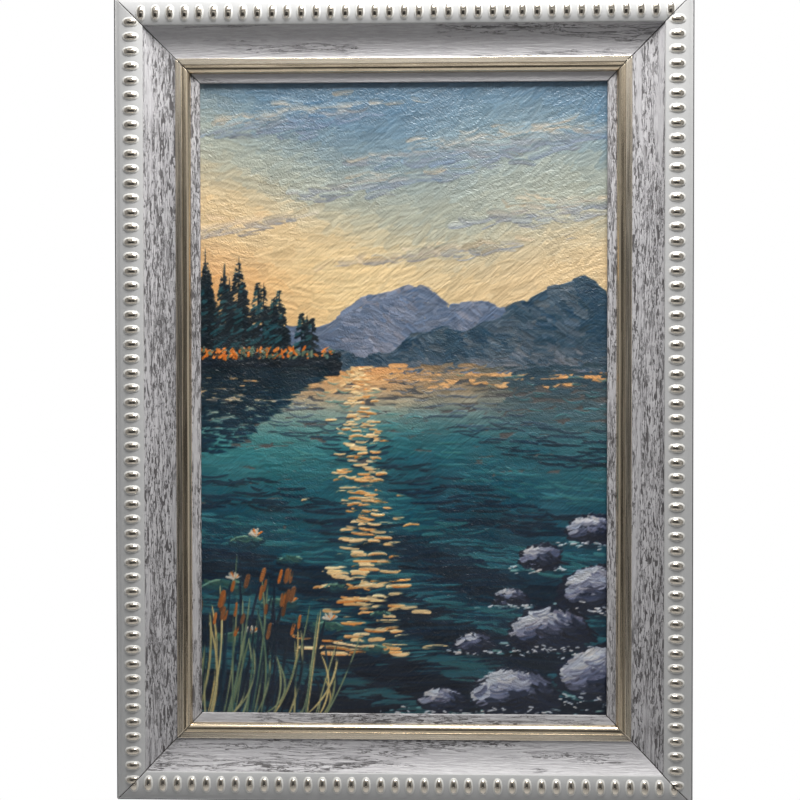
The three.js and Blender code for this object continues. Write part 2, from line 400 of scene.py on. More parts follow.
@dataclass(frozen=True)
class SilverBead:
    """Bright silvered beads, slightly dulled in places."""

    base: Colour = (0.58, 0.53, 0.46)
    roughness: float = 0.10
    pit_depth: float = 0.02 * MM

    def material(self) -> Material:
        """Builds the finish."""
        r = Recipe("silver_bead")
        dull = r.grain(420, rough=0.6)
        r.set(Base_Color=r.mix(r.step(dull, 0.45, 0.8), self.base, tone(self.base, 0.78)), Metallic=1.0)
        r.set(Roughness=r.step(dull, 0.35, 0.75, self.roughness, self.roughness + 0.14))
        r.set(Normal=r.bump(r.grain(900, detail=2), self.pit_depth))
        return r.material


@dataclass(frozen=True)
class BareWood:
    """Unpainted softwood on the back of the rails."""

    run: Run
    light: Colour = (0.62, 0.45, 0.28)
    dark: Colour = (0.40, 0.25, 0.13)
    ring_waves: Point = (7, 240)
    pore_waves: Point = (120, 2400)
    pore_depth: float = 0.06 * MM

    def material(self) -> Material:
        """Builds the finish."""
        r = Recipe(f"bare_wood_{self.run.value}")
        rings = r.grain(self.run.stretch(*self.ring_waves), detail=5, warp=0.9, rough=0.55)
        pores = r.grain(self.run.stretch(*self.pore_waves), detail=3, shift=4.0)
        ringed = r.mix(r.step(rings, 0.42, 0.62), self.light, self.dark)
        r.set(Base_Color=r.mix(r.step(pores, 0.60, 0.72, 0.0, 0.5), ringed, self.dark))
        r.set(Roughness=r.step(rings, 0.3, 0.7, 0.62, 0.78), Normal=r.bump(pores, self.pore_depth))
        return r.material


@dataclass(frozen=True)
class MitreShade:
    """The cut ends of the rails: painted dark as shade in the mitre gaps, with the wood's fibre showing
    faintly.
    """

    # Painted shade: this dark base makes the gaps between the mitred rails read as shadow.
    base: Colour = (0.085, 0.07, 0.06)
    fibre_depth: float = 0.08 * MM

    def material(self) -> Material:
        """Builds the finish."""
        r = Recipe("mitre_cut_painted_shade")
        fibre = r.grain(900)
        r.set(Base_Color=r.mix(r.step(fibre, 0.4, 0.7), self.base, tone(self.base, 1.9)))
        r.set(Roughness=r.step(fibre, 0.3, 0.7, 0.75, 0.9), Normal=r.bump(fibre, self.fibre_depth))
        return r.material


@dataclass(frozen=True)
class Hardboard:
    """Pressed brown fibre board with the mesh print of its rough side."""

    light: Colour = (0.36, 0.22, 0.12)
    dark: Colour = (0.20, 0.115, 0.06)
    mesh_waves: float = 640.0
    mesh_depth: float = 0.06 * MM
    fibre_depth: float = 0.05 * MM

    def material(self) -> Material:
        """Builds the finish."""
        r = Recipe("hardboard")
        fibre = r.grain(420, detail=6, warp=1.4, rough=0.65)
        stain = r.step(r.grain(14, detail=3, shift=2.0), 0.45, 0.75, 0.0, 0.35)
        fibres = r.mix(r.step(fibre, 0.35, 0.68), self.dark, self.light)
        r.set(Base_Color=r.mix(stain, fibres, self.dark))
        wires = []
        for way in ("X", "Z"):
            bands = {"Vector": r.place, "Scale": self.mesh_waves / math.pi, "Distortion": 0.6, "Detail": 1.0}
            wires.append(r.add("ShaderNodeTexWave", bands, bands_direction=way).outputs["Fac"])
        printed = r.bump(r.times(*wires), self.mesh_depth)
        r.set(Roughness=r.step(fibre, 0.3, 0.7, 0.78, 0.9), Normal=r.bump(fibre, self.fibre_depth, printed))
        return r.material


@dataclass(frozen=True)
class ZincSteel:
    """Thin zinc-plated steel, a little stained."""

    base: Colour = (0.62, 0.61, 0.57)
    stain: Colour = (0.42, 0.37, 0.30)
    bloom_depth: float = 0.02 * MM

    def material(self) -> Material:
        """Builds the finish."""
        r = Recipe("zinc_steel")
        bloom = r.grain(380, detail=5, rough=0.65)
        spots = r.step(r.grain(110, shift=6.0), 0.56, 0.72, 0.0, 0.6)
        r.set(Base_Color=r.mix(spots, self.base, self.stain), Metallic=1.0)
        r.set(Roughness=r.step(bloom, 0.3, 0.7, 0.26, 0.46), Normal=r.bump(bloom, self.bloom_depth))
        return r.material


@dataclass(frozen=True)
class OilPaint:
    """Dried oil colour with a soft varnish sheen; the colour lies in the mesh."""

    pigment: str = "pigment"
    roughness: float = 0.30
    swept_waves: Triple = (95, 95, 900)
    swept_turn: float = math.radians(40)
    dabbed_waves: Triple = (560, 560, 760)
    dabbed_turn: float = math.radians(-30)
    ground_depth: float = 0.36 * MM
    tooth_depth: float = 0.09 * MM

    def material(self) -> Material:
        """Builds the finish."""
        r = Recipe("oil_paint")
        colour = r.add("ShaderNodeAttribute", attribute_name=self.pigment).outputs["Color"]
        tooth = r.grain(1100, detail=3, rough=0.6)
        swept = r.grain(self.swept_waves, detail=3, warp=0.3, shift=2.0, turn=self.swept_turn)
        dabbed = r.grain(self.dabbed_waves, detail=3, warp=1.2, shift=5.0, turn=self.dabbed_turn)
        way = r.step(r.grain(24, detail=2, shift=4.0), 0.44, 0.58)
        ground = r.math("ADD", r.times(swept, way), r.times(dabbed, r.math("SUBTRACT", 1.0, way)))
        sheen = r.grain(60, rough=0.6, shift=9.0)
        r.set(Base_Color=r.mix(r.step(tooth, 0.35, 0.75, 0.0, 0.10), colour, BLACK))
        r.set(Roughness=r.step(sheen, 0.3, 0.7, self.roughness, self.roughness + 0.16))
        r.set(Normal=r.bump(tooth, self.tooth_depth, r.bump(ground, self.ground_depth)))
        return r.material


class Finish(Protocol):
    """What every finish can do."""

    def material(self) -> Material:
        """Builds the finish."""


materials_made: dict[Finish, Material] = {}


def coat(piece: Piece, *finishes: Finish) -> None:
    """Gives a piece its finishes in order; the material of each is made the first time it is asked for."""
    piece.data.materials.clear()
    for finish in finishes:
        if finish not in materials_made:
            materials_made[finish] = finish.material()
        piece.data.materials.append(materials_made[finish])


def curve(start: Point, end: Point, sag: float, steps: int) -> list[Point]:
    """Points on a hollow or swelling curve.

    Args:
        start: where it starts, across and forward.
        end: where it ends.
        sag: how far its middle sinks below the chord; below zero it swells.
        steps: how many pieces it is drawn in.

    Returns:
        The points, both ends included.
    """
    across, rise = end[0] - start[0], end[1] - start[1]
    chord = math.hypot(across, rise)
    points = []
    for i in range(steps + 1):
        t = i / steps
        sink = 4.0 * sag * t * (1.0 - t) / chord
        points.append((start[0] + across * t + rise * sink, start[1] + rise * t - across * sink))
    return points


@dataclass(frozen=True)
class MouldingSection:
    """The moulding cut across, in millimetres: outwards from the sight edge, and forward from the back."""

    width: float = 36.0
    rebate_width: float = 11.0
    rebate_depth: float = 8.0
    sight_height: float = 9.6
    lip_end: float = 3.8
    lip_top: float = 10.2
    roll_start: float = 10.4
    roll_end: float = 7.3
    roll_top: float = 12.6
    roll_bulge: float = 1.05
    roll_steps: int = 14
    fillet_end: float = 10.2
    fillet_height: float = 13.0
    fillet_inner_step: float = 0.12
    fillet_outer_step: float = 0.2
    fillet_round: float = 0.25
    scoop_end: float = 23.3
    scoop_height: float = 17.8
    scoop_sag: float = 1.6
    scoop_steps: int = 22
    band_start: float = 18.4
    band_step: float = 0.12
    band_step_drop: float = 0.15
    band_steps: int = 24
    crown_place: float = 28.6
    crown_height: float = 19.6
    shoulder_start: float = 34.9
    shoulder_height: float = 18.6
    shoulder_steps: int = 5
    side_height: float = 17.0
    edge_line: float = 1.3
    edge_sink: float = 0.1
    support: float = 0.3

    def band_height(self, across: float) -> float:
        """How far forward the band's face lies at a place across it."""
        edge, height = self.shoulder_start, self.shoulder_height
        if across < self.crown_place:
            edge, height = self.scoop_end, self.band_start
        share = (across - self.crown_place) / (edge - self.crown_place)
        return self.crown_height - (self.crown_height - height) * share * share

    def outline(self) -> list[Point]:
        """The section's corners and curves, from the sight edge outwards and back."""
        slope = (self.lip_top - self.sight_height) / self.lip_end
        across = (0.0, self.support, self.lip_end - self.support, self.lip_end)
        lip = [(0.0, self.rebate_depth), *((u, self.sight_height + slope * u) for u in across)]
        ends = (self.lip_end, self.roll_start), (self.roll_end, self.roll_top)
        roll = curve(*ends, -self.roll_bulge, self.roll_steps)
        back = [(self.width, 0.0), (self.rebate_width, 0.0), (self.rebate_width, self.rebate_depth)]
        return lip + roll + self.fillet() + self.scoop() + self.band() + self.shoulder() + back

    def fillet(self) -> list[Point]:
        """The flat fillet, with a small step on either side."""
        top = self.fillet_height
        start, end = self.roll_end + self.fillet_inner_step, self.fillet_end - self.fillet_round
        across = (start, start + self.support, end - self.support, end)
        inner = (self.roll_end, top - self.fillet_inner_step)
        outer = (self.fillet_end, top - self.fillet_outer_step)
        return [inner, *((u, top) for u in across), outer]

    def scoop(self) -> list[Point]:
        """The hollow face between the fillet and the band."""
        start = (self.fillet_end, self.fillet_height - 2 * self.fillet_outer_step)
        return curve(start, (self.scoop_end, self.scoop_height), self.scoop_sag, self.scoop_steps)

    def band(self) -> list[Point]:
        """The crowned band, with a fine line sunk beside its outer edge."""
        start = self.scoop_end + self.band_step
        spread = (self.shoulder_start - self.scoop_end - self.band_step) / self.band_steps
        across = [start + i * spread for i in range(self.band_steps + 1)]
        line = self.shoulder_start - self.edge_line
        face = [(u, self.band_height(u) - (self.edge_sink if u > line else 0.0)) for u in across]
        return [(self.scoop_end, self.band_start - self.band_step_drop), *face]

    def shoulder(self) -> list[Point]:
        """The rounded outer edge."""
        reach, drop = self.width - self.shoulder_start, self.shoulder_height - self.side_height
        turns = [math.radians(90 * (1 - i / self.shoulder_steps)) for i in range(1, self.shoulder_steps + 1)]
        start, foot = self.shoulder_start, self.side_height
        return [(start + reach * math.cos(a), foot + drop * math.sin(a)) for a in turns]


class Surface(Enum):
    """The finishes on one rail, numbered as its material slots."""

    DISTRESSED = 0
    LACQUER = 1
    GILT = 2
    BARE = 3
    CUT = 4
    # painted shade: the dark rim along the shoulder's outer edge
    SIDE = 5
    FILLET = 6


@dataclass
class Rail:
    """One length of moulding, mitred at both ends, with the row of silvered beads on its band.

    It is modelled as the top rail: along X, outwards +Z, forward -Y, from the middle of the opening.
    """

    side: RailSide
    half: float
    reach: float
    place: Matrix
    section: MouldingSection = MouldingSection()
    gap: float = 0.3 * MM
    mitre_line: float = 0.6 * MM
    edge_radius: float = 0.14 * MM
    bead_pitch: float = 6.37 * MM
    bead_place: float = 28.4 * MM
    bead_half_length: float = 3.0 * MM
    bead_half_width: float = 1.56 * MM
    bead_height: float = 1.0 * MM
    bead_rings: int = 10
    collar_half_length: float = 3.65 * MM
    collar_half_width: float = 2.1 * MM
    collar_height: float = 0.55 * MM
    collar_rings: int = 8
    dome_sides: int = 14
    dome_fullness: float = 2.6
    dome_foot: float = 0.12
    overlength: float = 4.0 * MM
    seam: float = 0.02
    lip_seam: float = 0.05
    corner_room: float = 0.15
    shaded_edge_width: float = 0.8

    def build(self) -> tuple[Piece, Piece]:
        """Builds the moulding and its beads in place.

        Returns:
            The moulding, and the row of beads.
        """
        moulding = self.extruded()
        self.mitre(moulding)
        soften(moulding, self.edge_radius, angle=28)
        self.dress(moulding)
        collar = (self.collar_half_width, self.collar_half_length, self.collar_height, self.collar_rings)
        collars = self.row(self.dome(*collar), "collars")
        coat(collars, SatinLacquer("collar_white", (0.52, 0.515, 0.495), 0.32))
        moulding = join([moulding, collars], f"moulding_{self.side.value}")
        bead = (self.bead_half_width, self.bead_half_length, self.bead_height, self.bead_rings)
        beads = self.row(self.dome(*bead), f"beads_{self.side.value}")
        coat(beads, SilverBead())
        for piece in (moulding, beads):
            settle(piece, self.place @ Matrix.Rotation(self.side.turn, 4, "Y"))
        return moulding, beads

    def extruded(self) -> Piece:
        """The section, drawn out along the whole rail."""
        outline = self.section.outline()
        far = self.half + self.section.width * MM + self.overlength
        deselect_all()
        bpy.ops.mesh.primitive_circle_add(vertices=len(outline), fill_type="NGON")
        piece = bpy.context.object
        for vertex, (across, forward) in zip(piece.data.vertices, outline):
            vertex.co = (-far, -forward * MM, self.reach + across * MM)
        with editing(piece):
            bpy.ops.mesh.extrude_region_move(TRANSFORM_OT_translate={"value": (2 * far, 0, 0)})
            bpy.ops.mesh.select_all(action="SELECT")
            bpy.ops.mesh.normals_make_consistent(inside=False)
        return piece

    def mitre(self, piece: Piece) -> None:
        """Cuts a piece off at both mitres and closes it; a line beside each cut keeps the long faces flat."""
        with editing(piece):
            for inset, cut in ((0.0, True), (self.mitre_line, False)):
                for way in (-1, 1):
                    bpy.ops.mesh.select_all(action="SELECT")
                    corner = (way * (self.half - self.gap / math.sqrt(2) - inset), 0, self.reach)
                    bpy.ops.mesh.bisect(plane_co=corner, plane_no=(way, 0, -1), use_fill=cut, clear_outer=cut)

    def dress(self, piece: Piece) -> None:
        """Gives each face the finish of its place on the section."""
        run = self.side.run
        # Painted shade: a near-black satin paint on the outermost rim of the shoulder stands in for the shadow
        # where the edge turns away.
        edge_shade = SatinLacquer("painted_shade_edge", (0.10, 0.10, 0.105), 0.5)
        fillet = GiltLeaf(run, "gilt_fillet", (0.78, 0.70, 0.58), (0.46, 0.38, 0.29), 0.22)
        paint = DistressedPaint(self.side)
        coat(piece, paint, SatinLacquer(), GiltLeaf(run), BareWood(run), MitreShade(), edge_shade, fillet)
        for face in piece.data.polygons:
            face.material_index = self.surface_at(face).value

    def surface_at(self, face: bpy.types.MeshPolygon) -> Surface:
        """The finish that a face of the moulding takes."""
        s = self.section
        across = (face.center.z - self.reach) / MM
        forward = -face.center.y / MM
        # Mitre faces take the dark finish that is painted shade in the gaps.
        if abs(face.normal.x) > 0.5:
            return Surface.CUT
        in_rebate = across < s.rebate_width + self.seam and forward < s.rebate_depth + self.corner_room
        if in_rebate or forward < self.corner_room:
            return Surface.BARE
        # The outermost rim of the shoulder takes the dark finish that is painted shade.
        if across > s.width - self.shaded_edge_width and forward > s.side_height:
            return Surface.SIDE
        if across > s.scoop_end - self.seam:
            return Surface.LACQUER
        if s.lip_end - self.lip_seam < across < s.fillet_end + self.seam:
            return Surface.GILT if across < s.roll_end - self.seam else Surface.FILLET
        return Surface.DISTRESSED

    def dome(self, half_width: float, half_length: float, height: float, rings: int) -> Piece:
        """A full oval dome that stands on the band and follows its crown.

        Args:
            half_width: half its size along the rail.
            half_length: half its size across the band.
            height: how far it stands proud.
            rings: how many rings a whole ball of it would have.

        Returns:
            The dome, at the middle of the rail.
        """
        deselect_all()
        bpy.ops.mesh.primitive_uv_sphere_add(segments=self.dome_sides, ring_count=rings, radius=1.0)
        piece = bpy.context.object
        with editing(piece):
            foot = (0, 0, -self.dome_foot)
            bpy.ops.mesh.bisect(plane_co=foot, plane_no=(0, 0, -1), use_fill=True, clear_outer=True)
        power = self.dome_fullness
        for vertex in piece.data.vertices:
            x, y, z = vertex.co
            plan = math.hypot(x, y)
            full = 1.0
            if plan > 1e-6:
                full = ((abs(x) / plan) ** power + (abs(y) / plan) ** power) ** (-1.0 / power)
            across = self.bead_place + y * full * half_length
            ground = self.section.band_height(across / MM) * MM
            vertex.co = (x * full * half_width, -ground - z * height, self.reach + across)
        with editing(piece):
            bpy.ops.mesh.normals_make_consistent(inside=False)
        return piece

    def row(self, master: Piece, name: str) -> Piece:
        """Copies a dome to every bead's place along the rail and mitres the row.

        Args:
            master: the dome, at the middle of the rail.
            name: the name of the row.

        Returns:
            The whole row as one piece.
        """
        shift = self.side.bead_shift
        farthest = self.half + self.bead_place + self.bead_half_width
        first = math.ceil((-farthest - shift) / self.bead_pitch)
        last = math.floor((farthest - shift) / self.bead_pitch)
        copies = []
        for i in range(first, last + 1):
            copy = master.copy()
            copy.data = master.data.copy()
            copy.data.transform(Matrix.Translation((shift + i * self.bead_pitch, 0, 0)))
            bpy.context.collection.objects.link(copy)
            copies.append(copy)
        bpy.data.objects.remove(master)
        piece = join(copies, name)
        self.mitre(piece)
        pick(piece)
        bpy.ops.object.shade_smooth_by_angle(angle=math.radians(50))
        return piece


def smooth(low: float, high: float, value: float) -> float:
    """A step from 0 at low to 1 at high, with soft ends."""
    t = min(1.0, max(0.0, (value - low) / (high - low)))
    return t * t * (3.0 - 2.0 * t)


def blend(first: Colour, second: Colour, share: float) -> Colour:
    """The colour a share of the way from first to second."""
    return tuple(a + (b - a) * share for a, b in zip(first, second))


@dataclass(frozen=True)
class Stroke:
    """One touch of the brush, in millimetres on the board."""

    x: float
    y: float
    angle: float
    length: float
    width: float
    colour: Colour
    second: Colour
    bend: float = 0.0
    load: float = 1.0
    body: float = 0.12


@dataclass
class Canvas:
    """A painted surface in small square cells: its colour and the thickness of its paint."""

    width: float = 184.0
    height: float = 284.0
    cell: float = 0.22
    bristle: float = 0.28
    seed: int = 7
    colour: np.ndarray = field(init=False)
    relief: np.ndarray = field(init=False)

    def __post_init__(self) -> None:
        """Lays out the cells and combs the bristle pattern that all strokes share."""
        columns, rows = round(self.width / self.cell), round(self.height / self.cell)
        self.xs = (np.arange(columns) + 0.5) * self.cell - self.width / 2
        self.ys = (np.arange(rows) + 0.5) * self.cell - self.height / 2
        self.colour = np.full((rows, columns, 3), 0.4, np.float32)
        self.relief = np.zeros((rows, columns), np.float32)
        self.bristles = self.comb(np.random.default_rng(self.seed))

    @staticmethod
    def comb(rng: np.random.Generator) -> np.ndarray:
        """A square of noise from 0 to 1 that runs in long streaks, as bristles leave them."""
        size = 1024
        noise = rng.standard_normal((size, size))
        along = np.fft.fftfreq(size)[None, :]
        across = np.fft.fftfreq(size)[:, None]
        keep = np.exp(-((along / 0.012) ** 2)) * np.exp(-((np.abs(across) / 0.28) ** 4))
        keep += 0.35 * np.exp(-((along / 0.05) ** 2)) * np.exp(-((np.abs(across) / 0.12) ** 2))
        streaks = np.real(np.fft.ifft2(np.fft.fft2(noise) * keep))
        ranks = streaks.ravel().argsort().argsort().reshape(size, size)
        return (ranks / ranks.size).astype(np.float32)

    def lay(self, stroke: Stroke, rng: np.random.Generator) -> None:
        """Lays one stroke on the paint that is there.

        Args:
            stroke: the stroke.
            rng: the generator that picks which bristles it shows.
        """
        c, s = math.cos(stroke.angle), math.sin(stroke.angle)
        spread = (stroke.width / 2 + abs(stroke.bend)) * 1.2
        reach_x = stroke.length / 2 * abs(c) + spread + self.cell
        reach_y = stroke.length / 2 * abs(s) + spread + self.cell
        x0, x1 = np.searchsorted(self.xs, (stroke.x - reach_x, stroke.x + reach_x))
        y0, y1 = np.searchsorted(self.ys, (stroke.y - reach_y, stroke.y + reach_y))
        if x0 >= x1 or y0 >= y1:
            return
        dx = self.xs[None, x0:x1] - stroke.x
        dy = self.ys[y0:y1, None] - stroke.y
        along = (dx * c + dy * s) / stroke.length + 0.5
        across = dy * c - dx * s + stroke.bend * (4.0 * along * (1.0 - along) - 0.67)
        half = stroke.width / 2 * np.sqrt(np.clip(1.0 - np.abs(2.0 * along - 1.0) ** 5, 0.0, 1.0))
        size = self.bristles.shape[0]
        start = rng.integers(0, size, 2)
        row = (across / self.bristle).astype(np.int32) + start[0]
        column = (along * stroke.length / 0.5).astype(np.int32) + start[1]
        streak = self.bristles[row % size, column % size]
        edge = np.clip((half - np.abs(across)) / self.cell * 0.9 + 0.3 * streak, 0.0, 1.0)
        wet = stroke.load - 0.55 * np.clip(along, 0, 1) * (1.6 - stroke.load)
        cover = edge * np.clip((streak - 1.0 + 1.25 * wet) * 5.0, 0.0, 1.0)
        lean = np.clip(across / stroke.width + 0.5 + 0.5 * (streak - 0.5), 0.0, 1.0)[..., None]
        paint = np.asarray(stroke.colour) * (1.0 - lean) + np.asarray(stroke.second) * lean
        paint = paint * (0.94 + 0.12 * streak)[..., None]
        patch = self.colour[y0:y1, x0:x1]
        patch += (paint - patch) * cover[..., None]
        rim = np.exp(-(((np.abs(across) - 0.86 * half) / (0.1 * stroke.width + 0.1)) ** 2))
        thick = stroke.body * (0.15 + 1.1 * streak + 0.35 * rim)
        low = self.relief[y0:y1, x0:x1]
        low += (0.35 * low + thick - low) * cover


SKY_TOP = (0.42, 0.53, 0.61)
SKY_PALE = (0.68, 0.70, 0.66)
SKY_CREAM = (0.88, 0.79, 0.64)
SKY_PEACH = (0.90, 0.69, 0.47)
SKY_GLOW = (0.93, 0.84, 0.66)
CLOUD_SHADE = (0.49, 0.52, 0.61)
CLOUD_LIGHT = (0.86, 0.76, 0.65)
MIST = (0.66, 0.65, 0.69)
FAR_HILL = (0.43, 0.49, 0.58)
NEAR_HILL = (0.18, 0.31, 0.39)
HILL_LIT = (0.56, 0.55, 0.57)
PINE_DARK = (0.05, 0.14, 0.18)
PINE_LIGHT = (0.15, 0.33, 0.36)
ORANGE = (0.88, 0.53, 0.22)
TEAL_LIGHT = (0.30, 0.57, 0.58)
TEAL = (0.12, 0.39, 0.45)
TEAL_DEEP = (0.06, 0.25, 0.33)
NAVY = (0.05, 0.12, 0.20)
STONE_LIGHT = (0.80, 0.81, 0.83)
STONE_MID = (0.47, 0.49, 0.59)
STONE_DARK = (0.13, 0.17, 0.25)
GRASS = (0.28, 0.44, 0.40)
STRAW = (0.82, 0.74, 0.53)


# Banks of cloud: x, y, how long and how deep each is.
CLOUD_BANKS = ((40, 112, 60, 9), (-52, 124, 46, 7), (64, 84, 40, 6), (-12, 96, 42, 4.5), (-70, 78, 30, 4),
               (22, 66, 46, 3))
# Stones by the near bank: x, y, how wide and how tall each is.
STONES = ((84, -58, 22, 13), (62, -70, 20, 11), (88, -84, 34, 20), (48, -88, 15, 8), (66, -102, 34, 19),
          (32, -108, 17, 9), (90, -122, 38, 24), (50, -130, 36, 20), (18, -134, 22, 11))
# Floating leaves: x, y, how wide each is. Then the flowers: x and y.
LEAVES = ((-70, -64, 15), (-50, -72, 11), (-80, -84, 19), (-56, -92, 16), (-30, -84, 10), (-34, -102, 15),
          (-74, -108, 21), (-10, -96, 9), (-12, -112, 12))
FLOWERS = ((-66, -61), (-76, -80), (-50, -90), (-33, -98), (-68, -104))


@dataclass
class Landscape:
    """A quiet lake under hills at dusk, painted from the back of the scene to the front."""

    canvas: Canvas
    shore: float = 16.0
    glow_x: float = -26.0
    glow_y: float = 40.0
    edge_x: float = 93.0
    edge_y: float = 143.0
    sky_passes: tuple = ((9.0, 700), (5.5, 1500), (3.2, 2200))
    hill_passes: tuple = (900, 1500)
    water_passes: tuple = ((6.0, 800), (3.4, 2000))
    ripples: int = 1500
    glints: int = 420
    pines: int = 21
    bushes: int = 120
    dark_reeds: int = 46
    pale_reeds: int = 40
    reed_heads: int = 30
    seed: int = 11

    def __post_init__(self) -> None:
        """Sets the seeded generator that every passage draws from."""
        self.rng = np.random.default_rng(self.seed)

    def any(self, low: float = 0.0, high: float = 1.0) -> float:
        """A number at random from low to high."""
        return self.rng.uniform(low, high)

    def about(self, spread: float, middle: float = 0.0) -> float:
        """A number at random about a middle, by default zero."""
        return self.rng.normal(middle, spread)

    def near(self, colour: Colour, spread: float) -> Colour:
        """The colour, a little lighter or darker and warmer or cooler."""
        shift = self.about(spread)
        warm = self.about(spread * 0.4)
        return (colour[0] + shift + warm, colour[1] + shift, colour[2] + shift - warm)

    def touch(self, x: float, y: float, angle: float, length: float, width: float, colour: Colour,
              **more) -> None:
        """Lays one stroke with the hand's small faults.

        Args:
            x, y: the stroke's middle.
            angle: its direction.
            length, width: its size.
            colour: its main colour.
            more: a stroke's other values, and spread (of colour) and wander (of direction).
        """
        spread = more.pop("spread", 0.03)
        second = more.pop("second", colour)
        angle += self.about(more.pop("wander", 0.08))
        length *= self.any(0.75, 1.3)
        width *= self.any(0.8, 1.25)
        tones = self.near(colour, spread), self.near(second, spread)
        self.canvas.lay(Stroke(x, y, angle, length, width, *tones, **more), self.rng)

    def scatter(self, count: int, low: Point, high: Point) -> np.ndarray:
        """Places spread over a box in mixed order, more even than plain chance.

        Args:
            count: about how many places.
            low, high: the box's corners.

        Returns:
            One place a row.
        """
        width, height = high[0] - low[0], high[1] - low[1]
        columns = max(1, round(math.sqrt(count * width / height)))
        rows = max(1, math.ceil(count / columns))
        cells = np.array([(i, j) for j in range(rows) for i in range(columns)], float)
        cells += self.rng.uniform(0.0, 1.0, cells.shape)
        places = np.array(low) + cells / (columns, rows) * (width, height)
        return places[self.rng.permutation(len(places))]

    def within(self, x: float, y: float, half_width: float, half_height: float) -> Point:
        """A place at random in an oval."""
        a = self.any(0, 2 * math.pi)
        r = math.sqrt(self.any())
        return x + r * math.cos(a) * half_width, y + r * math.sin(a) * half_height

    def sky_colour(self, x: float, y: float) -> Colour:
        """The sky's colour at a place."""
        rise = (y - self.shore) / 124.0 + 0.10 * math.sin(x * 0.035 + y * 0.02) + 0.0012 * (x - 10)
        colour = blend(SKY_PEACH, SKY_CREAM, smooth(0.02, 0.30, rise))
        colour = blend(colour, SKY_PALE, smooth(0.34, 0.62, rise))
        colour = blend(colour, SKY_TOP, smooth(0.58, 0.98, rise))
        far = math.hypot((x - self.glow_x) / 46.0, (y - self.glow_y) / 30.0)
        return blend(colour, SKY_GLOW, 0.85 * math.exp(-far * far))

    def sky(self) -> None:
        """Sweeps of the brush round the glow, then banks of cloud."""
        for size, count in self.sky_passes:
            for x, y in self.scatter(count, (-self.edge_x, self.shore - 4), (self.edge_x, self.edge_y)):
                lift = math.atan2(y - self.glow_y + 30, x - self.glow_x)
                crossed = 0.5 if self.any() < 0.25 else 0.0
                angle = 0.275 * math.sin(2 * lift) + 0.10 + crossed
                self.touch(x, y, angle, size * 3.2, size, self.sky_colour(x, y), spread=0.006 + 0.0012 * size,
                           bend=self.about(0.6), load=1.1)
        for cx, cy, long, deep in CLOUD_BANKS:
            for _ in range(int(long * deep * 0.42)):
                t = self.about(0.42)
                lean = self.about(0.5)
                x = cx + t * long
                y = cy + 0.12 * (x - cx) + lean * deep * math.exp(-t * t)
                shade = blend(CLOUD_SHADE, CLOUD_LIGHT, smooth(-0.25, 0.7, lean))
                shade = blend(shade, self.sky_colour(x, y), 0.35)
                self.touch(x, y, 0.12, 11, 3.0, shade, second=self.sky_colour(x, y + 3), body=0.14,
                           wander=0.15, load=self.any(0.6, 1.0), bend=self.about(0.8))

    def far_ridge(self, x: float) -> float:
        """The far hills' skyline."""
        return 38 + 9 * math.sin(0.034 * x + 1.1) + 4.0 * math.sin(0.093 * x + 2.0) + 1.6 * math.sin(0.23 * x)

    def near_ridge(self, x: float) -> float:
        """The nearer hills' skyline, highest at the right."""
        hump = 34 * math.exp(-(((x - 74) / 34) ** 2)) + 10 * math.exp(-(((x - 18) / 20) ** 2))
        return 19 + hump + 1.8 * math.sin(0.16 * x + 0.5) + 1.0 * math.sin(0.41 * x)

    def hills(self) -> None:
        """Two ranges of hills, painted down their slopes, with mist at their feet."""
        ranges = (self.far_ridge, FAR_HILL, MIST, 2.6), (self.near_ridge, NEAR_HILL, HILL_LIT, 2.2)
        for ridge, dark, lit, size in ranges:
            for layer, count in enumerate(self.hill_passes):
                for x, t in self.scatter(count, (-self.edge_x, 0), (self.edge_x, 1)):
                    top = ridge(x)
                    y = top - t * (top - self.shore + 2) - 1.0 + 0.4 * layer
                    slope = math.atan((ridge(x + 1) - ridge(x - 1)) / 2)
                    skyline = t < 0.10 or not layer
                    angle = slope * 0.8 if skyline else slope - 0.75 * math.copysign(1, slope + 0.05)
                    faces_glow = (x > self.glow_x) == (slope > 0)
                    light = (0.55 if faces_glow else 0.12) * self.any() + 0.35 * smooth(0.55, 1.0, t)
                    self.touch(x, y, angle, 6.0, size * (1.5 - 0.5 * layer), blend(dark, lit, light),
                               body=0.15, load=self.any(0.8, 1.1))

    def water_colour(self, x: float, y: float) -> Colour:
        """The lake's colour, from the far bank's reflections to the dark near water."""
        depth = self.shore - y
        pale = blend(SKY_PEACH, SKY_PALE, smooth(2, 26, depth))
        pale = blend(pale, TEAL_LIGHT, smooth(14, 40, depth))
        colour = blend(pale, TEAL, smooth(24, 62, depth + 8 * math.sin(x * 0.04 + 1)))
        colour = blend(colour, TEAL_DEEP, smooth(56, 104, depth + 10 * math.sin(x * 0.05)))
        colour = blend(colour, NAVY, smooth(98, 165, depth))
        hill = smooth(0.0, 1.0, (self.near_ridge(x) - 19) / 30) * math.exp(-depth / 34)
        return blend(colour, NEAR_HILL, min(0.9, 1.2 * hill))

